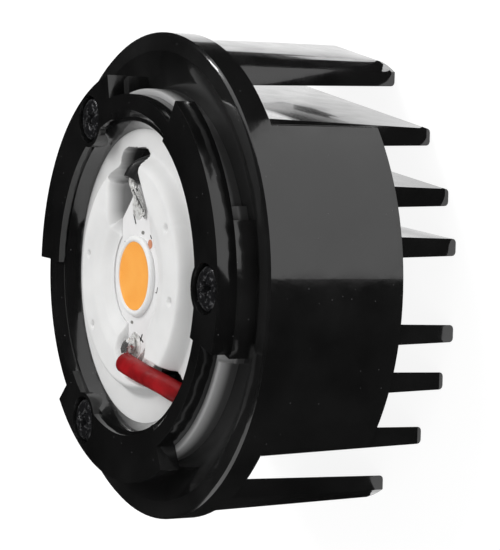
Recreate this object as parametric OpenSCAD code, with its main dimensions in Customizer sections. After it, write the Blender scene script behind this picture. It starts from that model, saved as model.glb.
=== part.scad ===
// Round COB LED spotlight module: a die-cast heat sink with fanned plate fins, a moulded COB
// holder, a square COB light source, a three-eared retaining ring and two short leads.
// Millimetres. The module stands on its fin tips at z = 0 and shines along +Z.

/* [Heat sink] */
// Diameter of the flange
flange_d = 50; // [48:0.5:51]
// Height of the flange's front rim above the fin tips
flange_z = 21.4; // [20.5:0.1:24]
// Thickness of the flange at its edge
flange_t = 3; // [2.6:0.1:3.6]
// Width of the flat rim on the front of the flange
rim_w = 2; // [1.4:0.1:2.4]
// Depth of the dished seat behind the rim
seat_depth = 0.9; // [0.6:0.1:1.2]
// Height of the two side walls' rear edge above the fin tips
wall_rear_z = 6.6; // [4:0.1:10]
// Thickness of the side walls
wall_t = 2; // [1.4:0.1:2.6]
// Radius that the fins are trimmed to
fin_r = 24.45; // [23.5:0.05:24.8]
// Thickness of a fin at its tip
fin_tip_t = 1.7; // [1.4:0.1:2]
// Draft on each face of a fin, in degrees
fin_draft = 1.4; // [0.5:0.1:2]
// Radius on the corners of the fin tips
fin_round = 0.4; // [0.1:0.05:0.6]

/* [Light source] */
// Side of the square COB board
board_side = 13.35; // [12:0.05:13.5]
// Thickness of the COB board
board_t = 1; // [0.8:0.1:1.2]
// Diameter of the light-emitting surface
les_d = 7; // [5:0.1:7.6]
// Outer diameter of the white dam
dam_d = 8.3; // [8:0.1:9]
// Height of the dam above the board
dam_h = 0.5; // [0.3:0.05:0.7]
// Thickness of the thermal pad under the board
pad_t = 0.2; // [0.1:0.05:0.4]

/* [Holder] */
// Outer radius of the holder's rim
holder_r = 19.2; // [18.8:0.1:19.4]
// Height of the raised blocks above the holder's rim
block_h = 1.6; // [1:0.1:1.8]
// Outer radius of the raised blocks
block_r = 12.6; // [11.5:0.1:13]
// Radius of the opening around the dam
aperture_r = 5.35; // [5:0.05:5.6]
// Width of the upper lead channel
channel_w = 7; // [6.4:0.1:7.4]
// Distance from the axis to the end of the upper lead channel
channel_end = 13.3; // [12.9:0.1:13.6]
// Width of the lower lead channel
slot_w = 3; // [2.6:0.1:3.4]

/* [Retaining ring] */
// Height of the ring's front above the flange's rim
ring_proud = 3.4; // [3:0.1:4]
// Thickness of the ring
ring_t = 2.1; // [1.8:0.1:2.4]
// Outer radius of the ring between its ears
ring_r = 18.6; // [18:0.1:19]
// Outer radius of the three ears
ear_r = 21.1; // [20:0.1:21.8]
// Angle that one ear spans, in degrees
ear_span = 75; // [60:1:85]
// Angle from an ear's leading end to its screw, in degrees
ear_lead = 17; // [14:0.5:22]
// Radius of the screws' pitch circle
screw_pcd_r = 18.4; // [18:0.1:18.8]

/* [Screws] */
// Thread diameter of the ring screws
screw_d = 2.5; // [2:0.1:2.6]
// Diameter of a screw head
head_d = 4.6; // [4:0.1:4.8]
// Height of a screw head
head_h = 1.3; // [1:0.1:1.4]
// Length of a screw under its head
screw_len = 4.5; // [4:0.1:5]
// Length of each arm of the cross recess
recess_span = 2.5; // [2:0.1:2.8]
// Width of each arm of the cross recess
recess_w = 0.48; // [0.4:0.02:0.6]
// Depth of the cross recess
recess_depth = 0.9; // [0.6:0.05:1]

/* [Leads] */
// Diameter of a lead over its insulation
lead_d = 1.9; // [1.5:0.1:2.1]
// Diameter of the stranded core
core_d = 0.9; // [0.6:0.1:1]

/* [Hidden] */
$fn = 96;
EPS = 0.01;
flange_r = flange_d / 2;
flange_rear_z = flange_z - flange_t;
seat_z = flange_z - seat_depth;
ring_front_z = flange_z + ring_proud;
ring_rear_z = ring_front_z - ring_t;
block_top_z = ring_rear_z + block_h;
board_top_z = ring_rear_z + 0.45;
board_rear_z = board_top_z - board_t;
pedestal_z = board_rear_z - pad_t;
pedestal_r = 10.4;
board_half_diag = board_side / sqrt(2);
SCREW_ANGLES = [120, 240, 0];
// Half the angle that a screw boss spans
boss_half = 18.5;
boss_r = ear_r - 0.2;
boss_inner_r = 16.4;
// Fins from the outermost to the innermost: where the near end lies, the height of the
// outer face there, its slope from the near end to the far end, and its thickness at the tip
FINS = [
    [11.6, 22.2, 11, fin_tip_t + 0.4],
    [18.6, 15.85, 10, fin_tip_t],
    [22.3, 9.95, 8, fin_tip_t],
    [23.9, 5.1, 4.5, fin_tip_t]
];
// Where the wire holes pass through the base
WIRE_HOLE_BLACK = [1, 11.9];
WIRE_HOLE_RED = [10.5, -12.1];
wire_hole_d = 2.6;

// A flat sector from angle a0 to a1, reaching well past radius r
module sector_2d(a0, a1, r) {
    steps = ceil((a1 - a0) / 15);
    polygon(concat([[0, 0]], [for (i = [0:steps]) let (a = a0 + (a1 - a0) * i / steps)
        1.2 * r * [cos(a), sin(a)]]));
}

// A piece of a flat ring between two radii and two angles
module ring_piece(r_in, r_out, a0, a1, h) {
    linear_extrude(h) intersection() {
        difference() {
            circle(r = r_out);
            circle(r = r_in);
        }
        sector_2d(a0, a1, r_out);
    }
}

// ---- Heat sink ----

// Section of one fin across its length: drafted faces and rounded tip corners
module fin_section(tip_t, height) {
    grow = height * tan(fin_draft);
    r = fin_round;
    arc = [for (i = [0:3]) let (a = 90 * i / 3) [r * (1 - cos(a)), r * (1 - sin(a))]];
    near_side = [for (p = arc) [-tip_t / 2 + p[0], p[1]]];
    far_side = [for (i = [3:-1:0]) [tip_t / 2 - arc[i][0], arc[i][1]]];
    polygon(concat(near_side, far_side, [[tip_t / 2 + grow, height], [-tip_t / 2 - grow, height]]));
}

// One straight fin, its outer face at y = outer_y where x = end_x and sloping outward from there
module fin(end_x, outer_y, slope, tip_t) {
    height = seat_z - 0.6;
    span = 2 * flange_r + 10;
    intersection() {
        translate([end_x, outer_y, 0]) rotate([0, 0, -slope]) translate([3, -tip_t / 2, 0])
            rotate([0, 0, 180]) rotate([90, 0, 90]) linear_extrude(span)
                fin_section(tip_t, height);
        translate([end_x - span, -span / 2, -1]) cube([span, span, height + 1]);
    }
}

module fins() {
    intersection() {
        translate([0, 0, -1]) cylinder(r = fin_r, h = seat_z, $fn = 180);
        union() {
            for (f = FINS) {
                fin(f[0], f[1], f[2], f[3]);
                mirror([0, 1, 0]) fin(f[0], f[1], f[2], f[3]);
            }
        }
    }
}

// Height of the second fin's outer face at a given x: it is where the side walls end
function wall_edge_y(x) = FINS[1][1] + (FINS[1][0] - x) * tan(FINS[1][2]);

// The area between the outer faces of the second and the seventh fin
module between_fins_2d() {
    far = -flange_r - 2;
    near = flange_r + 2;
    polygon([[near, wall_edge_y(near)], [far, wall_edge_y(far)],
        [far, -wall_edge_y(far)], [near, -wall_edge_y(near)]]);
}

module side_walls() {
    translate([0, 0, wall_rear_z]) linear_extrude(flange_rear_z - wall_rear_z + 0.5)
        intersection() {
            difference() {
                circle(r = flange_r - 0.05, $fn = 180);
                circle(r = flange_r - wall_t, $fn = 180);
            }
            between_fins_2d();
        }
}

// The flange: a rim, a dished seat and a raised pedestal for the light source
module flange() {
    rim_in = flange_r - rim_w;
    rotate_extrude($fn = 180) polygon([
        [0, flange_rear_z], [flange_r - 0.15, flange_rear_z], [flange_r, flange_rear_z + 0.15],
        [flange_r, flange_z - 0.25], [flange_r - 0.25, flange_z], [rim_in + 0.15, flange_z],
        [rim_in, flange_z - 0.12], [rim_in - 1.2, seat_z + 0.25], [rim_in - 2, seat_z],
        [0, seat_z]
    ]);
    translate([0, 0, seat_z - EPS]) cylinder(r = pedestal_r, h = pedestal_z - seat_z + EPS);
}

// The post that one ring screw goes into, sector-shaped
module screw_boss(angle) {
    translate([0, 0, seat_z - EPS])
        ring_piece(boss_inner_r, boss_r, angle - boss_half, angle + boss_half,
            ring_rear_z - seat_z + EPS);
}

module screw_hole(angle) {
    rotate([0, 0, angle]) translate([screw_pcd_r, 0, ring_front_z - head_h - screw_len - 0.2])
        cylinder(d = screw_d, h = screw_len);
}

module heat_sink() {
    color("#151515") difference() {
        union() {
            flange();
            for (a = SCREW_ANGLES) screw_boss(a);
            fins();
            side_walls();
        }
        for (a = SCREW_ANGLES) screw_hole(a);
        for (p = [WIRE_HOLE_BLACK, WIRE_HOLE_RED])
            translate([p[0], p[1], flange_rear_z - 1]) cylinder(d = wire_hole_d, h = 6);
    }
}

// ---- Light source ----

module thermal_pad() {
    color("#9a9a98") rotate([0, 0, 45])
        translate([-board_side / 2, -board_side / 2, pedestal_z]) cube([board_side, board_side, pad_t]);
}

module cob_board() {
    color("#f2f1ec") rotate([0, 0, 45])
        translate([-board_side / 2, -board_side / 2, board_rear_z])
            cube([board_side, board_side, board_t]);
}

module cob_dam() {
    color("#f7f6f2") translate([0, 0, board_top_z]) rotate_extrude() polygon([
        [les_d / 2, 0], [dam_d / 2, 0], [dam_d / 2 - 0.04, dam_h * 0.6],
        [dam_d / 2 - 0.2, dam_h], [les_d / 2 + 0.15, dam_h], [les_d / 2, dam_h * 0.8]
    ]);
}

module cob_phosphor() {
    color("#fbaa4a") translate([0, 0, board_top_z]) cylinder(d = les_d, h = dam_h * 0.8);
}

// One plated solder pad in a corner of the board, side +1 at the top and -1 at the bottom
module solder_pad(side) {
    translate([0, side * (board_half_diag - 2.35), board_top_z]) cylinder(d = 2.6, h = 0.05);
}

module pad_positive() { color("#c9c9c6") solder_pad(-1); }

module pad_negative() { color("#c9c9c6") solder_pad(1); }

// A solder joint: a low mound with the stripped core running into it
module solder_mound(side) {
    translate([0, side * (board_half_diag - 2.35), board_top_z + 0.05])
        rotate_extrude() polygon([
            [0, 0], [1.2, 0], [1.08, 0.22], [0.86, 0.48], [0.55, 0.68], [0.25, 0.78], [0, 0.8]
        ]);
}

module solder_positive() {
    color("#d8d8d6") difference() {
        solder_mound(-1);
        core(smooth(RED_PATH), core_d);
    }
}

module solder_negative() {
    color("#d8d8d6") difference() {
        solder_mound(1);
        core(smooth(BLACK_PATH), core_d);
    }
}

// ---- Leads ----

pad_y = board_half_diag - 2.35;
lead_low_z = board_top_z + 0.5;
// Route of the red lead: from its solder joint, along the lower channel and down its wire hole
RED_PATH = [
    [0, -pad_y + 0.3, lead_low_z],
    [-0.1, -pad_y - 1.9, lead_low_z + 0.6],
    [3.2, -9.9, lead_low_z + 0.65],
    [6.2, -10.1, lead_low_z + 0.35],
    [8.3, -10.4, ring_rear_z + 0.3],
    [9.8, -11.4, seat_z + 1],
    [WIRE_HOLE_RED[0] - 0.05, WIRE_HOLE_RED[1] + 0.05, seat_z - 0.2],
    [WIRE_HOLE_RED[0], WIRE_HOLE_RED[1], flange_rear_z + 0.2]
];
// Route of the black lead: from its solder joint, along the upper channel and down its wire hole
BLACK_PATH = [
    [0.2, pad_y - 0.3, lead_low_z],
    [-1.2, pad_y + 2.1, lead_low_z + 0.55],
    [-0.6, 10.6, lead_low_z - 0.1],
    [0.4, 11.5, ring_rear_z - 0.5],
    [WIRE_HOLE_BLACK[0], WIRE_HOLE_BLACK[1], seat_z - 0.1],
    [WIRE_HOLE_BLACK[0], WIRE_HOLE_BLACK[1], flange_rear_z + 0.2]
];
// Steps of the smooth curve for each leg of a path
LEG_STEPS = 4;

// A point on the smooth curve through p1 and p2, at t from 0 to 1
function spline(p0, p1, p2, p3, t) = 0.5 * (2 * p1 + (p2 - p0) * t
    + (2 * p0 - 5 * p1 + 4 * p2 - p3) * t * t + (3 * p1 - p0 - 3 * p2 + p3) * t * t * t);

// The smooth curve through a list of points, with a few steps for each leg
function smooth(p, steps = LEG_STEPS) = let (n = len(p)) concat(
    [for (i = [0:n - 2], k = [0:steps - 1])
        spline(p[max(i - 1, 0)], p[i], p[i + 1], p[min(i + 2, n - 1)], k / steps)],
    [p[n - 1]]);

function unit(v) = v / norm(v);

// Direction of a path at point i
function heading(p, i) = unit(p[min(i + 1, len(p) - 1)] - p[max(i - 1, 0)]);

// Side vectors along a path, each turned as little as possible from the one before
function sides(p, i = 0, u = [0, 0, 1]) = let (t = heading(p, i), s = unit(u - (u * t) * t))
    i == len(p) - 1 ? [s] : concat([s], sides(p, i + 1, s));

// Points around a cable of diameter d, LEAD_SIDES for each step of the path
LEAD_SIDES = 12;
function cable_points(p, d) = let (u = sides(p)) [for (i = [0:len(p) - 1], k = [0:LEAD_SIDES - 1])
    let (a = 360 * k / LEAD_SIDES)
    p[i] + d / 2 * (cos(a) * u[i] + sin(a) * cross(heading(p, i), u[i]))];

// Faces between the steps of a cable, whose points start at number first
function cable_skin(steps, first = 0) = [for (i = [0:steps - 2], k = [0:LEAD_SIDES - 1])
    let (a = first + i * LEAD_SIDES, m = (k + 1) % LEAD_SIDES)
    [a + k, a + LEAD_SIDES + k, a + LEAD_SIDES + m, a + m]];

// A solid round core along a path
module core(path, d) {
    last = (len(path) - 1) * LEAD_SIDES;
    ends = [[for (k = [0:LEAD_SIDES - 1]) k], [for (k = [LEAD_SIDES - 1:-1:0]) last + k]];
    polyhedron(cable_points(path, d), concat(cable_skin(len(path)), ends), convexity = 6);
}

// Insulation along a path: a tube that fits its core
module sleeve(path, d_out, d_in) {
    n = LEAD_SIDES;
    total = len(path) * n;
    inner = [for (f = cable_skin(len(path), total)) [f[3], f[2], f[1], f[0]]];
    front = [for (k = [0:n - 1]) let (m = (k + 1) % n) [m, total + m, total + k, k]];
    back = [for (k = [0:n - 1]) let (a = total - n, m = (k + 1) % n)
        [a + k, total + a + k, total + a + m, a + m]];
    polyhedron(concat(cable_points(path, d_out), cable_points(path, d_in)),
        concat(cable_skin(len(path)), inner, front, back), convexity = 6);
}

// The insulated part of a smooth path: its first leg is stripped
function insulated(p) = [for (i = [LEG_STEPS:len(p) - 1]) p[i]];

module lead_red() { color("#b8141c") sleeve(insulated(smooth(RED_PATH)), lead_d, core_d + 0.04); }

module lead_black() { color("#161616") sleeve(insulated(smooth(BLACK_PATH)), lead_d, core_d + 0.04); }

module lead_red_core() { color("#c8c4bc") core(smooth(RED_PATH), core_d); }

module lead_black_core() { color("#c8c4bc") core(smooth(BLACK_PATH), core_d); }

// ---- Holder ----

// A round-ended slot from point a to point b, seen from the front
module slot_2d(a, b, w) {
    angle = atan2(b[1] - a[1], b[0] - a[0]);
    translate(a) rotate([0, 0, angle]) translate([0, -w / 2]) square([norm(b - a), w]);
    for (p = [a, b]) translate(p) circle(d = w);
}

// Height of the channels' floor, below the face of the board
channel_floor_z = board_top_z - 0.8;

// Upper channel: open to the board at the light, and right through at the wire hole
module upper_channel() {
    x = -1.25;
    hole_w = 4;
    ends = [for (side = [-1, 1]) [x + side * (channel_w - hole_w) / 2, channel_end - hole_w / 2]];
    // over the board's corner
    translate([x - channel_w / 2, 3, channel_floor_z]) cube([channel_w, 8, 10]);
    translate([0, 0, channel_floor_z]) linear_extrude(10) slot_2d(ends[0], ends[1], hole_w);
    // right through, down to the heat sink
    translate([0, 0, seat_z - 1]) linear_extrude(10) difference() {
        slot_2d(ends[0], ends[1], hole_w);
        circle(r = pedestal_r - 0.05);
    }
}

// Lower channel: around the solder joint, then along the red lead to its wire hole
module lower_channel() {
    turn = [0, -pad_y - 1.6];
    bend = [8.2, -10.4];
    translate([0, 0, channel_floor_z]) linear_extrude(10) {
        slot_2d([0, -3], [0, -pad_y], 5);
        slot_2d(turn, [3.2, -9.9], slot_w);
        slot_2d([3.2, -9.9], bend, slot_w);
        slot_2d(bend, WIRE_HOLE_RED, slot_w - 0.4);
    }
    translate([0, 0, seat_z - 1]) linear_extrude(10) slot_2d(bend, WIRE_HOLE_RED, slot_w - 0.4);
}

module cob_holder() {
    rim_top = ring_rear_z;
    color("#e9e8e4") difference() {
        union() {
            // rim and body
            translate([0, 0, seat_z]) cylinder(r1 = holder_r, r2 = holder_r - 0.15, h = rim_top - seat_z);
            // raised centre with rounded shoulders and a funnel to the light
            rotate_extrude() polygon([
                [0, rim_top - 0.5], [block_r + 1.4, rim_top - 0.5], [block_r + 1.3, rim_top + 0.1],
                [block_r + 0.9, rim_top + 0.55 * block_h], [block_r + 0.2, rim_top + 0.85 * block_h],
                [block_r - 0.9, block_top_z], [8.2, block_top_z], [aperture_r + 0.9, block_top_z - 0.35],
                [aperture_r, block_top_z - 0.75], [0, block_top_z - 0.75]
            ]);
            // small locating tabs beside the screw bosses
            for (a = SCREW_ANGLES, s = [-1, 1]) rotate([0, 0, a + s * (boss_half + 2.6)])
                translate([holder_r - 1, -0.7, seat_z]) cube([2.2, 1.4, 1.2]);
        }
        // opening over the light
        translate([0, 0, seat_z]) cylinder(r = aperture_r, h = 10);
        // pocket for the board and its thermal pad
        rotate([0, 0, 45]) translate([-board_side / 2 - 0.1, -board_side / 2 - 0.1, seat_z])
            cube([board_side + 0.2, board_side + 0.2, board_top_z - seat_z]);
        // room for the pedestal
        translate([0, 0, seat_z - 1]) cylinder(r = pedestal_r + 0.15, h = pedestal_z - seat_z + 1.05);
        upper_channel();
        lower_channel();
        // notches around the screw bosses
        for (a = SCREW_ANGLES) translate([0, 0, seat_z - 1])
            ring_piece(boss_inner_r - 0.15, 30, a - boss_half - 0.4, a + boss_half + 0.4, 10);
    }
}

// ---- Retaining ring ----

// Where each gap between two ears begins and how far it reaches
gap_span = 120 - ear_span;
function gap_start(screw_angle) = screw_angle - ear_lead + ear_span;
// Radii of the ring's inner edge: at the rear, at the ledge, and of its front bevel
ring_bore_r = 15.1;
ledge_r = 15.9;
ear_bore_r = 16.3;
bevel_r = 17;
ledge_drop = 0.75;

// Outline of the ring seen from the front: a circle with three wider ears
module ring_outline_2d() {
    circle(r = ring_r, $fn = 180);
    for (a = SCREW_ANGLES) intersection() {
        circle(r = ear_r, $fn = 180);
        sector_2d(a - ear_lead, a - ear_lead + ear_span, ear_r);
    }
}

// What the ring's opening takes away: a cone up to a narrow ledge, then a wider step
module ring_opening() {
    ledge_z = ring_front_z - ledge_drop;
    difference() {
        rotate_extrude($fn = 180) polygon([
            [0, ring_rear_z - 1], [ring_bore_r - 0.3, ring_rear_z - 1], [ring_bore_r, ring_rear_z],
            [ledge_r, ledge_z], [ear_bore_r, ledge_z], [ear_bore_r, ring_front_z + 1],
            [0, ring_front_z + 1]
        ]);
        // a wall stays around each screw head
        for (a = SCREW_ANGLES) rotate([0, 0, a]) translate([screw_pcd_r, 0, ring_rear_z - 2])
            cylinder(d = head_d + 1.3, h = 10);
    }
}

// The bevel on the inner front edge, between the ears only
module gap_bevel(screw_angle) {
    ledge_z = ring_front_z - ledge_drop;
    rotate([0, 0, gap_start(screw_angle) + 0.5]) rotate_extrude(angle = gap_span - 1, $fn = 180)
        polygon([[ear_bore_r - 0.5, ledge_z + 0.1], [ear_bore_r, ledge_z + 0.1],
            [bevel_r + 0.1, ring_front_z + 0.1], [ear_bore_r - 0.5, ring_front_z + 0.1]]);
}

module retaining_ring() {
    color("#171717") difference() {
        translate([0, 0, ring_rear_z]) linear_extrude(ring_t) ring_outline_2d();
        ring_opening();
        for (a = SCREW_ANGLES) gap_bevel(a);
        for (a = SCREW_ANGLES) rotate([0, 0, a]) translate([screw_pcd_r, 0, 0]) {
            translate([0, 0, ring_rear_z - 1]) cylinder(d = screw_d + 0.3, h = 5);
            translate([0, 0, ring_front_z - head_h]) cylinder(d = head_d + 0.4, h = 5);
        }
    }
}

// ---- Screws ----

// A pan-head screw with a cross recess, its head resting in the ring's counterbore
module ring_screw(angle) {
    seat = ring_front_z - head_h;
    r = head_d / 2;
    color("#1c1c1c") rotate([0, 0, angle]) translate([screw_pcd_r, 0, 0]) difference() {
        union() {
            translate([0, 0, seat]) rotate_extrude($fn = 48) polygon([
                [0, 0], [r, 0], [r, 0.45 * head_h], [r - 0.14, 0.72 * head_h],
                [r - 0.5, 0.92 * head_h], [r - 1, head_h], [0, head_h]
            ]);
            translate([0, 0, seat - screw_len]) cylinder(d = screw_d, h = screw_len + EPS, $fn = 48);
        }
        for (a = [20, 110]) rotate([0, 0, a])
            translate([-recess_span / 2, -recess_w / 2, seat + head_h - recess_depth])
                cube([recess_span, recess_w, 2]);
    }
}

heat_sink();
thermal_pad();
cob_board();
cob_dam();
cob_phosphor();
pad_positive();
pad_negative();
solder_positive();
solder_negative();
lead_red();
lead_red_core();
lead_black();
lead_black_core();
cob_holder();
retaining_ring();
ring_screw(SCREW_ANGLES[0]);  // ring_screw_1
ring_screw(SCREW_ANGLES[1]);  // ring_screw_2
ring_screw(SCREW_ANGLES[2]);  // ring_screw_3
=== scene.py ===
"""Looks for the round COB spotlight module: paint, mouldings, solder, leads and studio."""
import math
import random

import bmesh
import bpy
from mathutils import Matrix, Vector

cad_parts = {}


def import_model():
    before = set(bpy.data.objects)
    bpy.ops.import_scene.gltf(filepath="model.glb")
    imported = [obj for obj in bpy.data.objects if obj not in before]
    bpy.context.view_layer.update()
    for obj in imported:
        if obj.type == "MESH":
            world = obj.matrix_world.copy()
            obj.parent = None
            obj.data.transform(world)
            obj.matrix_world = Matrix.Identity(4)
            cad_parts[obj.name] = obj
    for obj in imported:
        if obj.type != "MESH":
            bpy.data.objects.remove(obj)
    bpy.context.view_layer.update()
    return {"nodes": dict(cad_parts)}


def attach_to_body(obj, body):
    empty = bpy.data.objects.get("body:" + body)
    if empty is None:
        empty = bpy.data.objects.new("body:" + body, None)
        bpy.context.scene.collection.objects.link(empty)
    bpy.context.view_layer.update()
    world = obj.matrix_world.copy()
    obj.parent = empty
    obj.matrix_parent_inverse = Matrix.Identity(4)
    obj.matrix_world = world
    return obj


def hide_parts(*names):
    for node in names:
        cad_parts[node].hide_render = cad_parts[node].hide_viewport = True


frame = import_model()
NODES = frame["nodes"]
MM = 0.001


# ---------------------------------------------------------------- materials

class Shader:
    """A node material with a Principled shader. Its patterns are sized in millimetres."""

    def __init__(self, name, color, roughness, metallic=0.0, coat=0.0, coat_roughness=0.05):
        self.mat = bpy.data.materials.new(name)
        self.mat.use_nodes = True
        self.tree = self.mat.node_tree
        self.bsdf = self.tree.nodes["Principled BSDF"]
        self.set("Base Color", (*color, 1))
        self.set("Roughness", roughness)
        self.set("Metallic", metallic)
        self.set("Coat Weight", coat)
        self.set("Coat Roughness", coat_roughness)
        self.coords = self.add("ShaderNodeTexCoord").outputs["Object"]
        self.bumped = None

    def add(self, kind, **settings):
        node = self.tree.nodes.new(kind)
        for key, value in settings.items():
            setattr(node, key, value)
        return node

    def link(self, out, into):
        self.tree.links.new(out, into)

    def set(self, socket, value):
        self.bsdf.inputs[socket].default_value = value

    def noise(self, per_mm, detail=3.0, rough=0.5):
        """Noise with the given number of features in a millimetre, from 0 to 1."""
        node = self.add("ShaderNodeTexNoise")
        self.link(self.coords, node.inputs["Vector"])
        node.inputs["Scale"].default_value = per_mm / MM
        node.inputs["Detail"].default_value = detail
        node.inputs["Roughness"].default_value = rough
        return node.outputs["Fac"]

    def specks(self, per_mm, size, share):
        """Small round specks: 1 inside a speck and 0 elsewhere. share is the part of cells with one."""
        cells = self.add("ShaderNodeTexVoronoi")
        self.link(self.coords, cells.inputs["Vector"])
        cells.inputs["Scale"].default_value = per_mm / MM
        near = self.ramp(cells.outputs["Distance"], (size * 0.6, size), (1, 0))
        split = self.add("ShaderNodeSeparateColor")
        self.link(cells.outputs["Color"], split.inputs["Color"])
        chosen = self.ramp(split.outputs["Red"], (share * 0.98, share), (1, 0))
        return self.math("MULTIPLY", near, chosen)

    def ramp(self, value, stops, levels=(0.0, 1.0)):
        """Maps value from stops to levels, clamped at both ends."""
        node = self.add("ShaderNodeMapRange")
        self.link(value, node.inputs["Value"])
        node.inputs["From Min"].default_value = stops[0]
        node.inputs["From Max"].default_value = stops[1]
        node.inputs["To Min"].default_value = levels[0]
        node.inputs["To Max"].default_value = levels[1]
        return node.outputs["Result"]

    def math(self, operation, a, b):
        """A sum, product or the like of two sockets or numbers."""
        node = self.add("ShaderNodeMath", operation=operation)
        for socket, value in zip(node.inputs, (a, b)):
            if isinstance(value, (int, float)):
                socket.default_value = value
            else:
                self.link(value, socket)
        return node.outputs[0]

    def mix(self, fac, a, b):
        """Colour a where fac is 0 and b where it is 1. Each is a colour or a socket."""
        node = self.add("ShaderNodeMix", data_type="RGBA")
        self.link(fac, node.inputs["Factor"])
        for socket, value in zip((node.inputs[6], node.inputs[7]), (a, b)):
            if isinstance(value, tuple):
                socket.default_value = (*value, 1)
            else:
                self.link(value, socket)
        return node.outputs[2]

    def axes(self):
        """The object's X, Y and Z as sockets, in metres."""
        split = self.add("ShaderNodeSeparateXYZ")
        self.link(self.coords, split.inputs["Vector"])
        return split.outputs

    def color(self, socket):
        self.link(socket, self.bsdf.inputs["Base Color"])

    def roughness(self, socket):
        self.link(socket, self.bsdf.inputs["Roughness"])

    def bump(self, height, depth_mm):
        """Adds a bump whose height of 1 stands depth_mm out of the surface, to any set before."""
        node = self.add("ShaderNodeBump")
        node.inputs["Distance"].default_value = depth_mm * MM
        self.link(height, node.inputs["Height"])
        if self.bumped is not None:
            self.link(self.bumped, node.inputs["Normal"])
        self.bumped = node.outputs["Normal"]
        self.link(self.bumped, self.bsdf.inputs["Normal"])


def black_paint(name, base, peel_mm, coat):
    """Gloss black paint: orange peel that stands peel_mm high, dust specks and uneven gloss."""
    s = Shader(name, (base, base, base), 0.2, coat=coat, coat_roughness=0.045)
    cloud = s.ramp(s.noise(0.12, 4.0), (0.35, 0.7))
    dust = s.specks(1.6, 0.11, 0.16)
    body = s.mix(cloud, (base * 0.8,) * 3, (base * 1.7,) * 3)
    s.color(s.mix(dust, body, (0.09, 0.09, 0.092)))
    s.roughness(s.ramp(s.noise(0.35, 4.0), (0.3, 0.75), (0.1, 0.26)))
    s.bump(s.noise(1.1, 2.0), peel_mm)
    s.bump(s.noise(6.0, 3.0), peel_mm * 0.12)
    s.bump(dust, 0.012)
    return s.mat


def white_plastic():
    """White moulding with painted shade: greyer on its thin outer lip, darker down one channel's slope
    and dark in its openings.
    """
    s = Shader("white_plastic", (0.86, 0.855, 0.84), 0.42)
    s.set("Subsurface Weight", 0.12)
    s.set("Subsurface Scale", 0.6 * MM)
    s.set("Subsurface Radius", (1.0, 0.95, 0.9))
    lip_shade_grey, slope_shade_grey, opening_shade_grey = (0.42,) * 3, (0.2,) * 3, (0.035,) * 3
    body = s.mix(s.ramp(s.noise(0.2, 3.0), (0.3, 0.7)), (0.72, 0.72, 0.715), (0.78, 0.78, 0.775))
    x, y, z = s.axes()
    radius = s.math("POWER", s.math("ADD", s.math("MULTIPLY", x, x), s.math("MULTIPLY", y, y)), 0.5)
    # painted shade: the outer lip greys from radius 17 to 18.2 mm, where the ring and bowl shade it
    body = s.mix(s.ramp(radius, (17.0 * MM, 18.2 * MM)), body, lip_shade_grey)
    # painted shade on the upper channel's slope, darker as it goes down toward the channel floor
    slope_shade = s.ramp(radius, (10.6 * MM, 11.4 * MM), (1.0, 0.0))
    for axis, start, end in ((z, 24.2, 22.9), (y, 4.2, 6.5), (x, 0.0, -2.0)):
        slope_shade = s.math("MULTIPLY", slope_shade, s.ramp(axis, (start * MM, end * MM)))
    # painted shade: the slope greys inside radius 11.4 mm, below 24.2 mm, above y 4.2 mm and left of x
    # 0
    body = s.mix(slope_shade, body, slope_shade_grey)
    # painted shade: the moulding darkens from 22.75 mm down to 21.2 mm, deep in its openings
    s.color(s.mix(s.ramp(z, (22.75 * MM, 21.2 * MM)), body, opening_shade_grey))
    s.roughness(s.ramp(s.noise(0.8, 3.0), (0.3, 0.7), (0.36, 0.5)))
    s.bump(s.noise(5.0, 3.0), 0.006)
    return s.mat


def board_white():
    """White solder mask of the COB board."""
    s = Shader("board_white", (0.86, 0.85, 0.82), 0.32)
    cloud = s.ramp(s.noise(0.4, 3.0), (0.3, 0.7))
    s.color(s.mix(cloud, (0.75, 0.745, 0.745), (0.8, 0.795, 0.795)))
    s.bump(s.noise(4.0, 3.0), 0.004)
    return s.mat


def dam_silicone():
    """Milky silicone of the dam."""
    s = Shader("dam_silicone", (0.93, 0.925, 0.91), 0.28)
    s.set("Subsurface Weight", 0.3)
    s.set("Subsurface Scale", 0.5 * MM)
    s.set("Subsurface Radius", (1.0, 0.95, 0.88))
    s.color(s.mix(s.noise(0.7, 2.0), (0.76, 0.765, 0.76), (0.84, 0.84, 0.83)))
    s.bump(s.noise(1.5, 2.0), 0.02)
    return s.mat


def phosphor():
    """Phosphor in silicone: fine grains in a slightly cloudy orange."""
    s = Shader("phosphor", (0.96, 0.4, 0.07), 0.36)
    grain = s.ramp(s.noise(14.0, 2.0), (0.35, 0.65))
    cloud = s.ramp(s.noise(0.35, 2.0), (0.35, 0.7))
    body = s.mix(cloud, (0.93, 0.36, 0.055), (0.99, 0.46, 0.1))
    s.color(s.mix(grain, body, (0.98, 0.43, 0.08)))
    s.bump(grain, 0.004)
    return s.mat


def solder_metal():
    """Solder: bright and dull patches on a wavy surface."""
    s = Shader("solder_metal", (0.8, 0.8, 0.79), 0.2, metallic=0.9)
    s.color(s.mix(s.noise(1.5, 3.0), (0.6, 0.6, 0.59), (0.96, 0.96, 0.95)))
    s.roughness(s.ramp(s.noise(2.5, 3.0), (0.3, 0.7), (0.1, 0.36)))
    s.bump(s.noise(2.2, 2.0), 0.05)
    return s.mat


def tinned_copper():
    """Tinned strands and pads: mostly bright, with greyer patches."""
    s = Shader("tinned_copper", (0.75, 0.74, 0.72), 0.3, metallic=0.4)
    patches = s.ramp(s.noise(2.4, 2.0), (0.35, 0.5))
    s.color(s.mix(patches, (0.6, 0.59, 0.57), (0.97, 0.97, 0.95)))
    s.bump(s.noise(7.0, 2.0), 0.01)
    return s.mat


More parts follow.
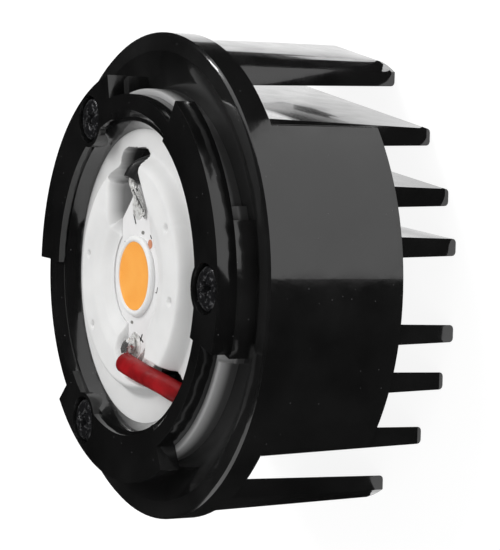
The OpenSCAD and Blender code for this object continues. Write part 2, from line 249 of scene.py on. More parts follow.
def lead_skin(name, dark, light, rough):
    """Soft cable insulation: slightly mottled, with a dull gloss and shallow dents."""
    s = Shader(name, light, rough)
    s.color(s.mix(s.ramp(s.noise(0.5, 3.0), (0.35, 0.65)), dark, light))
    s.roughness(s.ramp(s.noise(1.6, 3.0), (0.3, 0.7), (rough - 0.08, rough + 0.12)))
    s.bump(s.noise(0.8, 2.0), 0.05)
    s.bump(s.noise(9.0, 2.0), 0.006)
    return s.mat


def grey_pad():
    """Filled silicone of the thermal pad."""
    s = Shader("grey_pad", (0.32, 0.32, 0.31), 0.7)
    s.color(s.mix(s.noise(2.0, 3.0), (0.27, 0.27, 0.26), (0.38, 0.38, 0.37)))
    s.bump(s.noise(5.0, 2.0), 0.02)
    return s.mat


def black_screw():
    """Black-plated steel, worn bright in places where the driver has turned it."""
    s = Shader("black_screw", (0.03, 0.03, 0.032), 0.3, metallic=0.6, coat=0.5)
    worn = s.ramp(s.noise(2.2, 5.0, 0.7), (0.56, 0.66))
    s.color(s.mix(worn, (0.02, 0.02, 0.022), (0.3, 0.3, 0.31)))
    s.roughness(s.ramp(s.noise(4.0, 4.0), (0.3, 0.7), (0.18, 0.5)))
    s.bump(s.noise(5.0, 4.0, 0.6), 0.04)
    return s.mat


def ink(name, color):
    """A printed or bare mark on the board, slightly uneven."""
    s = Shader(name, color, 0.5)
    s.color(s.mix(s.noise(5.0, 2.0), color, tuple(min(1.0, c * 1.6 + 0.02) for c in color)))
    return s.mat


PAINT = black_paint("black_paint", 0.009, 0.012, 0.7)
RING_PAINT = black_paint("ring_paint", 0.005, 0.005, 0.5)
HOLDER = white_plastic()
BOARD = board_white()
DAM = dam_silicone()
PHOSPHOR = phosphor()
SOLDER = solder_metal()
TIN = tinned_copper()
RED = lead_skin("red_insulation", (0.2, 0.002, 0.004), (0.36, 0.004, 0.008), 0.42)
BLACK = lead_skin("black_insulation", (0.008, 0.008, 0.008), (0.02, 0.02, 0.021), 0.34)
PAD_GREY = grey_pad()
SCREW = black_screw()
INK = ink("board_ink", (0.012, 0.012, 0.012))
GREY_INK = ink("board_grey", (0.16, 0.16, 0.15))
COPPER = ink("bare_copper", (0.42, 0.17, 0.09))

NODE_MATERIALS = {
    "heat_sink": PAINT, "thermal_pad": PAD_GREY, "cob_board": BOARD, "cob_dam": DAM,
    "cob_phosphor": PHOSPHOR, "pad_positive": TIN, "pad_negative": TIN,
    "solder_positive": SOLDER, "solder_negative": SOLDER, "lead_red": RED,
    "lead_red_core": TIN, "lead_black": BLACK, "lead_black_core": TIN,
    "cob_holder": HOLDER, "retaining_ring": RING_PAINT,
    "ring_screw_1": SCREW, "ring_screw_2": SCREW, "ring_screw_3": SCREW,
}


def paint(obj, material):
    """The object's one material, on every face."""
    obj.data.materials.clear()
    obj.data.materials.append(material)


# ---------------------------------------------------------------- pieces

def add_object(name, data):
    """A new object in the scene."""
    obj = bpy.data.objects.new(name, data)
    bpy.context.scene.collection.objects.link(obj)
    return obj


def attach(obj, node=None):
    """Hides the CAD node that a piece replaces, if any, and gives the piece the module's one body."""
    if node:
        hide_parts(node)
    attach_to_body(obj, "root")


def finish(mesh, name, material, node=None, smooth_angle=40):
    """Turns a bmesh built in millimetres into a piece that rides on the module."""
    bmesh.ops.recalc_face_normals(mesh, faces=mesh.faces)
    for face in mesh.faces:
        face.smooth = True
    limit = math.radians(smooth_angle)
    for edge in mesh.edges:
        if len(edge.link_faces) == 2 and edge.calc_face_angle() > limit:
            edge.smooth = False
    bmesh.ops.scale(mesh, vec=(MM, MM, MM), verts=mesh.verts)
    data = bpy.data.meshes.new(name)
    mesh.to_mesh(data)
    mesh.free()
    data.materials.append(material)
    attach(add_object(name, data), node)


def angles(turns):
    """The angles of one full turn, in equal steps."""
    return [2 * math.pi * k / turns for k in range(turns)]


def circle(mesh, r, z, turns, centre=(0, 0)):
    """A ring of points at height z."""
    return [mesh.verts.new((centre[0] + r * math.cos(a), centre[1] + r * math.sin(a), z))
            for a in angles(turns)]


def bridge(mesh, a, b, flip=False):
    """A band of faces from ring a to ring b."""
    for k in range(len(a)):
        m = (k + 1) % len(a)
        mesh.faces.new((a[k], a[m], b[m], b[k]) if flip else (a[k], b[k], b[m], a[m]))


def fan(mesh, centre, ring):
    """Faces from a point to the ring around it."""
    for k in range(len(ring)):
        mesh.faces.new((centre, ring[k], ring[(k + 1) % len(ring)]))


def step(value, start, end):
    """A smooth step from 0 at start to 1 at end."""
    t = min(1.0, max(0.0, (value - start) / (end - start)))
    return t * t * (3 - 2 * t)


def round_box(x, y, centre, half, radius):
    """Distance to a rounded box in the plane, negative inside."""
    u, v = abs(x - centre[0]) - half[0] + radius, abs(y - centre[1]) - half[1] + radius
    return math.hypot(max(u, 0), max(v, 0)) + min(max(u, v), 0) - radius


def capsule(x, y, a, b, radius):
    """Distance to a round-ended bar from a to b in the plane, negative inside."""
    ax, ay = b[0] - a[0], b[1] - a[1]
    t = ((x - a[0]) * ax + (y - a[1]) * ay) / (ax * ax + ay * ay)
    t = min(1.0, max(0.0, t))
    return math.hypot(x - a[0] - t * ax, y - a[1] - t * ay) - radius


# ---- Heat sink, ring and board: CAD nodes with rounded edges ----

# Side walls, in millimetres: the flange's radius, the walls' radius in the CAD part, a height
# just under both walls, and the small step where a wall meets the flange
FLANGE_R = 25.0
CAD_WALL_R = 24.95
WALL_FOOT_Z = 6.5
STEP_Z = 18.5
STEP_SIZE = 0.05


def flush_wall(mesh):
    """Brings the side walls out to the flange's radius, so that the paint runs on without a seam."""
    seam = []
    for v in mesh.verts:
        r = math.hypot(v.co.x, v.co.y) / MM
        if v.co.z > WALL_FOOT_Z * MM and abs(r - CAD_WALL_R) < 0.006:
            v.co.x *= FLANGE_R / r
            v.co.y *= FLANGE_R / r
            if abs(v.co.z / MM - STEP_Z) < 0.02:
                v.co.z = (STEP_Z + STEP_SIZE) * MM
        if r > CAD_WALL_R - 0.02 and abs(v.co.z / MM - STEP_Z) < 0.07:
            seam.append(v)
    bmesh.ops.remove_doubles(mesh, verts=seam, dist=0.03 * MM)


def round_normals(obj):
    """Applies the bevel, and gives the tall faces of the side walls the normals of a cylinder."""
    tall, at_wall, upright = 2 * MM, (FLANGE_R - 0.15) * MM, 0.99
    graph = bpy.context.evaluated_depsgraph_get()
    data = bpy.data.meshes.new_from_object(obj.evaluated_get(graph))
    obj.modifiers.clear()
    obj.data = data
    normals = [Vector(n.vector) for n in data.corner_normals]
    for face in data.polygons:
        heights = [data.vertices[i].co.z for i in face.vertices]
        out = Vector((face.center.x, face.center.y, 0))
        if max(heights) - min(heights) < tall or out.length < at_wall:
            continue
        if face.normal.dot(out.normalized()) < upright:
            continue
        for corner, vertex in zip(face.loop_indices, face.vertices):
            co = data.vertices[vertex].co
            normals[corner] = Vector((co.x, co.y, 0)).normalized()
    data.normals_split_custom_set(normals)


def edge_rounded(node, width_mm, wall=False):
    """A copy of a CAD node with its flat faces joined and its edges rounded, which replaces it."""
    obj = add_object(node + "_finish", NODES[node].data.copy())
    mesh = bmesh.new()
    mesh.from_mesh(obj.data)
    bmesh.ops.remove_doubles(mesh, verts=mesh.verts, dist=0.002 * MM)
    if wall:
        flush_wall(mesh)
    bmesh.ops.dissolve_limit(mesh, angle_limit=math.radians(0.5), verts=mesh.verts, edges=mesh.edges)
    mesh.to_mesh(obj.data)
    mesh.free()
    for face in obj.data.polygons:
        face.use_smooth = True
    bevel = obj.modifiers.new("edges", "BEVEL")
    bevel.width = width_mm * MM
    bevel.segments = 3
    bevel.limit_method = "ANGLE"
    bevel.angle_limit = math.radians(30)
    bevel.harden_normals = True
    bevel.use_clamp_overlap = True
    if wall:
        round_normals(obj)
    paint(obj, NODE_MATERIALS[node])
    attach(obj, node)


# ---- Holder ----

# Heights and radii in millimetres, as in the CAD part
SEAT_Z = 20.5
PEDESTAL_ROOM_Z = 21.97
RIM_Z = 22.7
CHANNEL_Z = 22.92
BOARD_Z = 23.15
BLOCK_Z = 24.3
APERTURE_R = 5.35
PEDESTAL_ROOM_R = 10.55
BLOCK_R = 12.0
HOLDER_R = 19.2
# Half the diagonal of the pocket for the board, which is turned 45 degrees
POCKET_REACH = 9.6
DIMPLES = [(-9.6, 1.7), (-8.3, -5.7), (8.6, 5.3), (9.8, -1.9)]
SEAMS = [((9.6, 5.6), (12.2, 6.0)), ((6.3, 12.1), (6.5, 14.6))]
# The lower channel along the red lead, and its deep end as two bars with their radii
LOWER_SLOT = [((0.1, -8.9), (3.2, -9.5)), ((3.2, -9.5), (8.3, -10.2)), ((8.3, -10.2), (10.4, -12))]
LOWER_SLOT_R = 1.32
DEEP_SLOT = [((5.0, -9.85), (8.4, -10.4), 1.25), ((8.4, -10.4), (10.3, -12.1), 1.35)]
# Tabs on the rim: middle and half width in degrees, and outer radius
TABS = [(21.0, 2.2, 20.1), (341, 2.2, 20.1), (262, 2.4, 19.9), (141, 2.4, 19.9)]
TAB_DROP = 1.1
# The outer edge from the rim down to the seat: how far it lies inside the reach, and its height
OUTER_EDGE = [(0.22, RIM_Z), (0.06, RIM_Z - 0.07), (0, RIM_Z - 0.25), (0, SEAT_Z)]


def holder_bottom(x, y, r):
    """Height of the holder's underside: over the board, over the pedestal, and on the seat."""
    if abs(x) + abs(y) < POCKET_REACH:
        return BOARD_Z + 0.02
    return PEDESTAL_ROOM_Z if r < PEDESTAL_ROOM_R else SEAT_Z


def sunk(z, floor_z, distance, start, end):
    """z with a recess: floor_z where distance is under start, rising to the blocks' height at end."""
    return min(z, floor_z + (BLOCK_Z - floor_z) * step(distance, start, end))


def holder_top(x, y, r):
    """Height of the holder's face: rim, two raised blocks, funnel, channels and dimples."""
    low_left = step(-y, 2, 9) * step(-x, -6, 2)
    edge = BLOCK_R - 0.25 * low_left
    z = RIM_Z + (BLOCK_Z - RIM_Z) * (1 - step(r, edge - 0.9, edge + 0.75) ** 1.3)
    z -= 0.06 * step(r, 9, 11.4)
    # funnel down to the light
    z = min(z, BLOCK_Z - 0.3 * step(-r, -8.6, -6.6) - 0.7 * step(-r, -7.0, -APERTURE_R))
    for cx, cy in DIMPLES:
        z -= 0.42 * (1 - step(math.hypot(x - cx, y - cy), 0.15, 0.52))
    for a, b in SEAMS:
        z -= 0.05 * (1 - step(capsule(x, y, a, b, 0.02), 0, 0.14))
    # upper channel: a soft slope on the left, and a block edge along the strands on the right
    block_edge = (x - 1.7) * 0.832 + (y - 10.2) * 0.555
    wall = max(round_box(x, y, (-0.5, 6.5), (4.65, 4.3), 2.4), block_edge)
    floor_z = CHANNEL_Z - 0.62 * step(abs(x) + abs(y), POCKET_REACH, POCKET_REACH + 0.3)
    z = sunk(z, floor_z, wall, -0.28 - 1.7 * step(-x, 1.2, 2.4), 0.5)
    # hole at the end of the upper channel
    z = sunk(z, SEAT_Z, round_box(x, y, (-1.8, 11.25), (3.7, 1.9), 1.75), -0.2, 0.12)
    # lower channel: around the solder joint, then along the red lead and down
    pocket = round_box(x, y, (0.8, -6.2), (3.5, 2.8), 2.0)
    slot = min(capsule(x, y, a, b, LOWER_SLOT_R) for a, b in LOWER_SLOT)
    z = sunk(z, CHANNEL_Z, min(pocket, slot), -0.2 - 1.3 * step(-x, 0.8, 2.2), 0.3)
    return sunk(z, SEAT_Z, min(capsule(x, y, a, b, radius) for a, b, radius in DEEP_SLOT), -0.1, 0.25)


def holder_reach(angle):
    """Outer radius of the holder: a step near 40 degrees and four small tabs."""
    a = math.degrees(angle) % 360
    reach = HOLDER_R - 0.35 * (1 - step(abs(a - 29), 10.5, 12))
    for middle, half, out in TABS:
        tab = 1 - step(abs(a - middle), half, half + 0.7)
        reach = max(reach, HOLDER_R + (out - HOLDER_R) * tab)
    return reach


def holder():
    """The white moulding as one closed mesh on a polar grid."""
    turns = 480
    radii = [APERTURE_R + 0.125 * k for k in range(74)] + [15.0, 15.9, 16.8, 17.6, 18.2, 18.7]
    mesh = bmesh.new()
    top, bottom = [], []
    for r in radii:
        upper, lower = [], []
        for a in angles(turns):
            x, y = r * math.cos(a), r * math.sin(a)
            floor_z = holder_bottom(x, y, r)
            upper.append(mesh.verts.new((x, y, max(holder_top(x, y, r), floor_z))))
            lower.append(mesh.verts.new((x, y, floor_z)))
        top.append(upper)
        bottom.append(lower)
    for inset, z in OUTER_EDGE:
        ring = []
        for a in angles(turns):
            r = holder_reach(a) - inset
            # the tabs are lower than the rim
            drop = TAB_DROP * step(r, 19.4, 19.7) if z > SEAT_Z else 0
            ring.append(mesh.verts.new((r * math.cos(a), r * math.sin(a), z - drop)))
        top.append(ring)

    def cell(rows, i, k):
        """The corners of one cell of the grid."""
        m = (k + 1) % turns
        return rows[i][k], rows[i + 1][k], rows[i + 1][m], rows[i][m]

    def has_depth(i, k):
        """False where face and underside meet, which leaves the moulding open."""
        pairs = zip(cell(top, i, k), cell(bottom, i, k))
        return any(upper.co.z - lower.co.z >= 1e-4 for upper, lower in pairs)

    for i in range(len(radii) - 1):
        solid = [k for k in range(turns) if has_depth(i, k)]
        for k in solid:
            mesh.faces.new(cell(top, i, k))
        for k in solid:
            mesh.faces.new(cell(bottom, i, k)[::-1])
    outer_rows = top[len(radii) - 1:]
    for inner, outer in zip(outer_rows, outer_rows[1:]):
        bridge(mesh, inner, outer)
    bridge(mesh, top[-1], bottom[-1])
    bridge(mesh, bottom[0], top[0])
    bmesh.ops.remove_doubles(mesh, verts=mesh.verts, dist=1e-5)
    bmesh.ops.dissolve_degenerate(mesh, edges=mesh.edges, dist=1e-6)
    loose = [v for v in mesh.verts if not v.link_faces]
    bmesh.ops.delete(mesh, geom=loose, context="VERTS")
    finish(mesh, "holder_moulding", HOLDER, "cob_holder", 55)


# ---- Screws ----

# In millimetres: the circle that the screws stand on, where their heads seat, and their parts
SCREW_CIRCLE_R = 18.4
SCREW_SEAT_Z = 23.5
HEAD_R = 2.3
HEAD_H = 1.3
SHOULDER_R = 1.35
SHANK_R = 1.25
# Depth of the cross recess at its arms' ends, and how much deeper it is in the middle
RECESS_EDGE = 0.22
RECESS_MORE = 0.62
# Number, angle on the circle in degrees, and how far the cross is turned in radians
SCREWS = [(1, 120, 0.5), (2, 240, 1.1), (3, 0, 0.25)]


def crown(r):
    """Height of the pan head's surface over its seat, with a rounded shoulder."""
    t = min(1.0, max(0.0, (r - SHOULDER_R) / (HEAD_R - SHOULDER_R)))
    shoulder = (HEAD_H - 0.55) * (1 - math.sqrt(max(0, 1 - t ** 2.6)))
    return HEAD_H - 0.09 * (r / HEAD_R) ** 2 - shoulder


def recess(x, y, turn):
    """Depth of the cross recess, which is wider and deeper toward the middle."""
    c, s = math.cos(turn), math.sin(turn)
    u, v = abs(x * c + y * s), abs(y * c - x * s)
    along, across = max(u, v), min(u, v)
    half_width = 0.27 + 0.1 * step(-along, -0.7, -0.35)
    inside = 1 - step(across, half_width - 0.07, half_width + 0.07)
    inside *= 1 - step(along, 1.2, 1.34)
    return inside * (RECESS_EDGE + RECESS_MORE * (1 - step(along, 0.15, 1.25)))


def screw(number, angle, turn):
    """A pan-head screw with a cross recess, and its shank."""
    cx = SCREW_CIRCLE_R * math.cos(math.radians(angle))
    cy = SCREW_CIRCLE_R * math.sin(math.radians(angle))
    turns = 144
    mesh = bmesh.new()
    centre = mesh.verts.new((cx, cy, SCREW_SEAT_Z + HEAD_H - (RECESS_EDGE + RECESS_MORE)))
    rings = []
    for r in [0.05 * k for k in range(1, 44)] + [2.2, 2.26, HEAD_R]:
        ring = []
        for a in angles(turns):
            x, y = r * math.cos(a), r * math.sin(a)
            ring.append(mesh.verts.new((cx + x, cy + y, SCREW_SEAT_Z + crown(r) - recess(x, y, turn))))
        rings.append(ring)
    for r, drop in ((HEAD_R, 0), (SHANK_R, 0), (SHANK_R, 4.2), (0.9, 4.5)):
        rings.append(circle(mesh, r, SCREW_SEAT_Z - drop, turns, (cx, cy)))
    fan(mesh, centre, rings[0])
    for inner, outer in zip(rings, rings[1:]):
        bridge(mesh, inner, outer)
    mesh.faces.new(rings[-1][::-1])
    finish(mesh, f"screw_{number}", SCREW, f"ring_screw_{number}", 60)


# ---- Leads and solder ----

def curve_points(points, steps):
    """A smooth curve through the points, with the given number of steps for each leg."""
    p = [Vector(v) for v in points]
    out = []
    for i in range(len(p) - 1):
        p0, p1, p2, p3 = p[max(i - 1, 0)], p[i], p[i + 1], p[min(i + 2, len(p) - 1)]
        for k in range(steps):
            t = k / steps
            out.append(0.5 * (2 * p1 + (p2 - p0) * t + (2 * p0 - 5 * p1 + 4 * p2 - p3) * t ** 2
                              + (3 * p1 - p0 - 3 * p2 + p3) * t ** 3))
    out.append(p[-1])
    return out


def frames(path):
    """Two side vectors at each point of a path, turned as little as possible along it."""
    out = []
    side = Vector((0, 0, 1))
    for i in range(len(path)):
        ahead = (path[min(i + 1, len(path) - 1)] - path[max(i - 1, 0)]).normalized()
        side = (side - ahead * side.dot(ahead)).normalized()
        out.append((side, ahead.cross(side)))
    return out


def tube(mesh, path, radius, count, bore=None):
    """A tube along a path. radius is a function of the share of the length and the angle, and bore
    is the share of the radius that is hollow."""
    sides = frames(path)

    def ring(i, scale):
        share = i / (len(path) - 1)
        verts = []
        for a in angles(count):
            u, v = sides[i]
            r = radius(share, a) * scale
            verts.append(mesh.verts.new(path[i] + u * (r * math.cos(a)) + v * (r * math.sin(a))))
        return verts

    rings = [ring(i, 1.0) for i in range(len(path))]
    if bore:
        # a rounded mouth at each end, and the bore between them
        rings = [ring(0, 0.93)] + rings + [ring(len(path) - 1, 0.93)]
        rings += [ring(i, bore) for i in range(len(path))][::-1]
        rings.append(rings[0])
    for a, b in zip(rings, rings[1:]):
        bridge(mesh, a, b, flip=True)
    if not bore:
        mesh.faces.new(rings[0][::-1])
        mesh.faces.new(rings[-1])


def insulation(name, points, size, material, node):
    """A soft sleeve with shallow dents. size is its radius."""
    def radius(share, a):
        dent = 0.03 * math.sin(2 * a + 9 * share) + 0.02 * math.sin(3 * a - 14 * share)
        return size + dent * (0.4 + share)

    mesh = bmesh.new()
    tube(mesh, curve_points(points, 8), radius, 28, 0.5)
    finish(mesh, name, material, node, 50)


def strands(name, points, node, stray):
    """Seven twisted bare strands along a path, and a stray one that thins toward its end."""
    strand_r, bundle_r, twist = 0.125, 0.24, 0.22
    mesh = bmesh.new()
    path = curve_points(points, 10)
    sides = frames(path)
    for j in range(7):
        r = 0.0 if j == 6 else bundle_r
        line = []
        for i, point in enumerate(path):
            a = 2 * math.pi * j / 6 + twist * i
            u, v = sides[i]
            line.append(point + u * (r * math.cos(a)) + v * (r * math.sin(a)))
        tube(mesh, line, lambda share, a: strand_r, 8)
    tube(mesh, curve_points(stray, 6), lambda share, a: 0.13 * (1 - 0.6 * share), 8)
    finish(mesh, name, TIN, node, 60)


def solder_blob(name, points, widths, node, seed):
    """Solder that has wetted a pad and run up the strands: a lumpy drop along a path."""
    rng = random.Random(seed)
    lumps = [(rng.uniform(0, 6.3), rng.uniform(2, 5), rng.uniform(0.02, 0.07)) for _ in range(6)]

    def radius(share, a):
        at = share * (len(widths) - 1)
        i = min(int(at), len(widths) - 2)
        base = widths[i] + (widths[i + 1] - widths[i]) * step(at - i, 0, 1)
        return base * (1 + sum(h * math.sin(n * a + 7 * share + p) for p, n, h in lumps))

    mesh = bmesh.new()
    tube(mesh, curve_points(points, 8), radius, 32)
    bmesh.ops.subdivide_edges(mesh, edges=mesh.edges, cuts=1, use_grid_fill=True, smooth=0.6)
    for vert in mesh.verts:
        vert.co.z = max(vert.co.z, BOARD_Z + 0.05)
    bmesh.ops.dissolve_degenerate(mesh, edges=mesh.edges, dist=1e-5)
    finish(mesh, name, SOLDER, node, 70)


# Routes of the insulated leads, and the bare strands' first points, from the solder joint on
RED_ROUTE = [(0.0, -8.95, 24.25), (2.6, -9.35, 24.3), (5.3, -9.85, 24.1), (7.4, -10.4, 23.5),
             (9.0, -11.15, 22.5), (10.2, -11.95, 20.9), (10.5, -12.1, 19.8), (10.5, -12.1, 18.6)]
BLACK_ROUTE = [(-0.1, 9.85, 23.9), (0.0, 10.7, 23.4), (0.4, 11.4, 22.4), (1.0, 11.9, 20.6),
               (1.0, 11.9, 18.6)]
RED_BARE = [(0.0, -7.2, 23.7), (-0.5, -7.9, 24.0), (-0.5, -8.5, 24.2)]
BLACK_BARE = [(1.6, 6.3, 23.45), (1.45, 7.3, 23.7), (1.0, 8.5, 23.95)]
RED_STRAY = [(1.2, -8.6, 23.5), (2.2, -7.9, 23.6), (3.4, -7.1, 23.42)]
BLACK_STRAY = [(0.3, 9.4, 24.2), (0.2, 8.3, 23.8), (0.5, 7.4, 23.35)]
LOWER_JOINT = [(-0.1, -6.3, 23.3), (-0.3, -7.0, 23.6), (-0.5, -7.7, 23.8), (-0.7, -8.3, 24.0)]
UPPER_JOINT = [(1.8, 6.0, 23.25), (1.6, 6.9, 23.5), (1.4, 7.8, 23.75), (0.9, 8.9, 24.0)]


def leads():
    """Both leads with their strands, and the solder joints that hold them."""
    insulation("red_lead_sleeve", RED_ROUTE, 1.06, RED, "lead_red")
    insulation("black_lead_sleeve", BLACK_ROUTE, 0.97, BLACK, "lead_black")
    strands("red_lead_strands", RED_BARE + RED_ROUTE, "lead_red_core", RED_STRAY)
    strands("black_lead_strands", BLACK_BARE + BLACK_ROUTE, "lead_black_core", BLACK_STRAY)
    solder_blob("lower_solder", LOWER_JOINT, [0.2, 0.76, 0.7, 0.36], "solder_positive", 3)
    solder_blob("upper_solder", UPPER_JOINT, [0.1, 0.3, 0.36, 0.34], "solder_negative", 5)


# ---- Printed and plated marks on the board ----

# Printed strokes: centre, length, width and turn in degrees. The first is the minus sign, the
# next two are the plus sign, and the rest are small plain strokes.
STROKES = [
    ((-0.8, 5.8), 1.2, 0.2, -60), ((1.28, -6.4), 1.25, 0.18, 60), ((1.28, -6.4), 1.3, 0.18, -25),
    ((3.1, 4.15), 0.5, 0.14, -50), ((4.03, 3.7), 0.45, 0.14, -60), ((4.05, 3.25), 0.5, 0.14, -60),
    ((-2.98, 3.2), 0.5, 0.1, -65), ((4.8, -1.1), 0.55, 0.1, 75), ((4.6, -1.4), 0.35, 0.1, 0),
]
# Test points: centre and size
TEST_POINTS = [((1.2, 4.5), 0.45), ((-0.95, -4.85), 0.4)]


def mark(mesh, centre, length, width, turn, lift=0.02):
    """A thin bar with rounded ends, lying on the board."""
    c, s = math.cos(math.radians(turn)), math.sin(math.radians(turn))
    outline = []
    for end in (1, -1):
        for k in range(9):
            a = math.pi * (k / 8 - 0.5)
            u = end * (length / 2 - width / 2) + end * width / 2 * math.cos(a)
            outline.append((u, end * width / 2 * math.sin(a)))
    lower = [mesh.verts.new((centre[0] + u * c - v * s, centre[1] + u * s + v * c, BOARD_Z))
             for u, v in outline]
    upper = [mesh.verts.new((v.co.x, v.co.y, BOARD_Z + lift)) for v in lower]
    mesh.faces.new(upper)
    mesh.faces.new(lower[::-1])
    bridge(mesh, lower, upper, flip=True)


def marks():
    """Strokes, test points and a bare copper dot."""
    printed = bmesh.new()
    for centre, length, width, turn in STROKES:
        mark(printed, centre, length, width, turn)
    finish(printed, "board_marks", INK)
    test_points = bmesh.new()
    for centre, size in TEST_POINTS:
        mark(test_points, centre, size * 1.5, size * 0.8, 0)
    finish(test_points, "board_test_points", GREY_INK)
    copper = bmesh.new()
    mark(copper, (2.95, 3.42), 0.95, 0.93, 0, 0.04)
    finish(copper, "board_copper_dot", COPPER)


# ---- Dam and light-emitting surface ----

ROUND_TURNS = 128
# Section of the dam's bead: radius, and height over the board
BEAD = [(4.16, 0.0), (4.18, 0.1), (4.14, 0.27), (4.03, 0.41), (3.86, 0.49), (3.7, 0.49),
        (3.57, 0.42), (3.5, 0.3), (3.48, 0.0)]
LIGHT_R = 3.52
LIGHT_H = 0.3


def dam():
    """The dam as a soft, slightly uneven bead."""
    mesh = bmesh.new()
    rings = []
    for radius, height in BEAD:
        ring = []
        for t in angles(ROUND_TURNS):
            r = radius + 0.02 * math.sin(3 * t) + 0.012 * math.sin(8 * t)
            z = BOARD_Z + height * (1 + 0.03 * math.sin(2 * t + 1))
            ring.append(mesh.verts.new((r * math.cos(t), r * math.sin(t), z)))
        rings.append(ring)
    for a, b in zip(rings, rings[1:] + rings[:1]):
        bridge(mesh, a, b, flip=True)
    finish(mesh, "dam_bead", DAM, "cob_dam", 60)


def light():
    """The phosphor as a shallow dish that wets the dam."""
    mesh = bmesh.new()
    rings = []
    for j in range(1, 15):
        r = LIGHT_R * j / 14
        rings.append(circle(mesh, r, BOARD_Z + LIGHT_H + 0.05 * step(r, 2.9, 3.5), ROUND_TURNS))
    rings.append([mesh.verts.new((v.co.x, v.co.y, BOARD_Z)) for v in rings[-1]])
    fan(mesh, mesh.verts.new((0, 0, BOARD_Z + LIGHT_H)), rings[0])
    for a, b in zip(rings, rings[1:]):
        bridge(mesh, a, b)
    mesh.faces.new(rings[-1][::-1])
    finish(mesh, "phosphor_fill", PHOSPHOR, "cob_phosphor")


for name, node in NODES.items():
    paint(node, NODE_MATERIALS[name])

edge_rounded("heat_sink", 0.18, wall=True)
edge_rounded("retaining_ring", 0.1)
edge_rounded("cob_board", 0.03)
holder()
for number, angle, turn in SCREWS:
    screw(number, angle, turn)
leads()
marks()
dam()
light()


# ---------------------------------------------------------------- studio

# The camera of the photograph, in metres. The module lies on its side in the picture, so the
# camera's top is toward +Y, with a small roll in degrees.
CAMERA_PLACE = (0.215387, 0.015228, 0.125899)
CAMERA_TARGET = (0, 0, 0.00999)
CAMERA_ROLL = 1.47
CAMERA_LENS = 152.33

# Dark areas that a gloss surface sees on the floor, in millimetres: they keep the lower half of
# the wall, the fins' ends and the flange's edge black, and leave the rest to mirror white.
FLOOR_CARDS = {
    "card_low": [(24.8, 1.1), (400, 17), (400, -400), (-400, -400), (-400, -40), (-43, -24),
                 (-10, -24.6), (11.6, -22.2), (24.8, -5)],
    "card_near": [(24.6, 1.4), (33.5, 1.5), (32.5, 7.3), (29.5, 14), (25.5, 20), (20.6, 24.6),
                  (10.6, 22.4), (12.2, 20.6), (16.5, 17.3), (18.2, 15.5), (22.2, 9.5), (24.4, 4.4)],
    "card_high": [(9.5, 22.3), (12, 22.6), (20.5, 27.2), (24, 50), (60, 60), (60, 300), (-80, 300),
                  (-80, 70), (-60, 58), (-26, 45), (-16.5, 38.5), (-8, 33), (-1.6, 29.2), (4.5, 25.6)],
    "card_notch": [(3.7, 21.2), (-11, 26.6), (-20, 28.2), (-13, 26), (-8, 24), (-2.4, 22.3)],
    "card_behind": [(-25.6, -23.5), (-25.6, 8), (-48, 22), (-62, 50), (-81, 70), (-400, 300),
                    (-400, -38)],
}
CARD_LIFT = 0.0004
# Cards on both sides of the module and above it, in metres: what the flat front faces and the
# bowl mirror
TALL_CARDS = {
    "card_front": [(-0.35, -0.6, 0.001), (-0.35, 0.6, 0.001), (-0.35, 0.6, 0.9), (-0.35, -0.6, 0.9)],
    "card_back": [(1.2, -0.9, 0.02), (1.2, 0.9, 0.02), (1.2, 0.9, 0.9), (1.2, -0.9, 0.9)],
    "card_roof": [(-0.35, -0.9, 0.9), (-0.35, 0.9, 0.9), (1.2, 0.9, 0.9), (1.2, -0.9, 0.9)],
}


def aim(obj, place, target, up, roll=0.0):
    """Puts a camera or lamp at place, facing target, with its top toward up."""
    ahead = (Vector(target) - Vector(place)).normalized()
    side = ahead.cross(Vector(up)).normalized()
    top = side.cross(ahead)
    turn = Matrix((side, top, -ahead)).transposed()
    obj.matrix_world = Matrix.Translation(place) @ turn.to_4x4() @ Matrix.Rotation(roll, 4, "Z")


def camera():
    """The camera at the photograph's viewing angle, and the plain view transform."""
    data = bpy.data.cameras.new("camera")
    data.sensor_width = 36
    data.lens = CAMERA_LENS
    obj = add_object("camera", data)
    aim(obj, CAMERA_PLACE, CAMERA_TARGET, (0, 1, 0), math.radians(CAMERA_ROLL))
    bpy.context.scene.camera = obj
    bpy.context.scene.view_settings.view_transform = "Standard"


def seen_directly(tree):
    """A socket that is 1 for camera, glossy and transmission rays and 0 for the rest."""
    rays = tree.nodes.new("ShaderNodeLightPath")
    total = rays.outputs["Is Camera Ray"]
    for ray in ("Is Glossy Ray", "Is Transmission Ray"):
        either = tree.nodes.new("ShaderNodeMath")
        either.operation = "MAXIMUM"
        tree.links.new(total, either.inputs[0])
        tree.links.new(rays.outputs[ray], either.inputs[1])
        total = either.outputs[0]
    return total


def world(strength):
    """White where it is seen, and a soft even light of the given strength on the object."""
    data = bpy.data.worlds.new("studio")
    bpy.context.scene.world = data
    data.use_nodes = True
    tree = data.node_tree
    background = tree.nodes["Background"]
    background.inputs["Color"].default_value = (1, 1, 1, 1)
    level = tree.nodes.new("ShaderNodeMapRange")
    level.inputs["To Min"].default_value = strength
    level.inputs["To Max"].default_value = 1.0
    tree.links.new(seen_directly(tree), level.inputs["Value"])
    tree.links.new(level.outputs["Result"], background.inputs["Strength"])


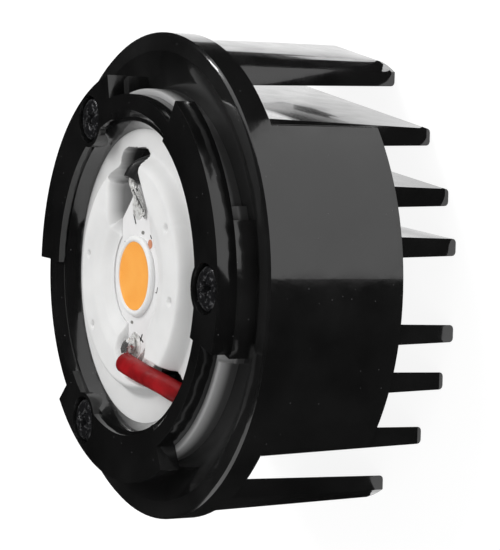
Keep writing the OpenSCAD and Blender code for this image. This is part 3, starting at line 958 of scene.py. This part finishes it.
def floor(glow, albedo):
    """A pale floor that reads white where it is lit and keeps the module's soft shadow."""
    mat = bpy.data.materials.new("floor_white")
    mat.use_nodes = True
    tree = mat.node_tree
    tree.nodes.clear()
    out = tree.nodes.new("ShaderNodeOutputMaterial")
    diffuse = tree.nodes.new("ShaderNodeBsdfDiffuse")
    diffuse.inputs["Color"].default_value = (albedo, albedo, albedo, 1)
    emission = tree.nodes.new("ShaderNodeEmission")
    scale = tree.nodes.new("ShaderNodeMath")
    scale.operation = "MULTIPLY"
    scale.inputs[1].default_value = glow
    tree.links.new(seen_directly(tree), scale.inputs[0])
    tree.links.new(scale.outputs[0], emission.inputs["Strength"])
    both = tree.nodes.new("ShaderNodeAddShader")
    tree.links.new(diffuse.outputs[0], both.inputs[0])
    tree.links.new(emission.outputs[0], both.inputs[1])
    tree.links.new(both.outputs[0], out.inputs["Surface"])
    bpy.ops.mesh.primitive_plane_add(size=8)
    obj = bpy.context.object
    obj.name = "studio_floor"
    obj.data.materials.append(mat)


def card_black():
    """The dull black of the cards."""
    mat = bpy.data.materials.new("card_black")
    mat.use_nodes = True
    bsdf = mat.node_tree.nodes["Principled BSDF"]
    bsdf.inputs["Base Color"].default_value = (0.01, 0.01, 0.01, 1)
    bsdf.inputs["Roughness"].default_value = 1.0
    bsdf.inputs["Specular IOR Level"].default_value = 0.0
    return mat


def dark_card(name, corners, material):
    """A card that only reflections see, as a photographer sets beside a gloss black part."""
    mesh = bpy.data.meshes.new(name)
    mesh.from_pydata(corners, [], [tuple(range(len(corners)))])
    mesh.materials.append(material)
    obj = add_object(name, mesh)
    obj.visible_camera = False
    obj.visible_diffuse = False
    obj.visible_shadow = False
    obj.visible_transmission = False


def softbox(name, place, target, size, watts, mirrored=False):
    """A square soft lamp. Reflections see it only if it is mirrored."""
    data = bpy.data.lights.new(name, "AREA")
    data.shape = "RECTANGLE"
    data.size = data.size_y = size
    data.energy = watts
    obj = add_object(name, data)
    obj.visible_glossy = mirrored
    aim(obj, place, target, (0, 0.1, 1))


def studio():
    """World, floor, lamps and cards."""
    world(0.42)
    floor(0.9, 0.2)
    softbox("key", (-0.3, 0.38, 0.6), (0, 0, 0.02), 0.4, 4.4)
    softbox("glint", (-0.28, 0.54, 0.36), (0, 0, 0.02), 0.06, 0.25, mirrored=True)
    softbox("fill", (0.6, -0.1, 0.24), (0, 0, 0.01), 0.4, 1.6)
    black = card_black()
    for name, corners in FLOOR_CARDS.items():
        dark_card(name, [(x * MM, y * MM, CARD_LIFT) for x, y in corners], black)
    for name, corners in TALL_CARDS.items():
        dark_card(name, corners, black)


camera()
studio()
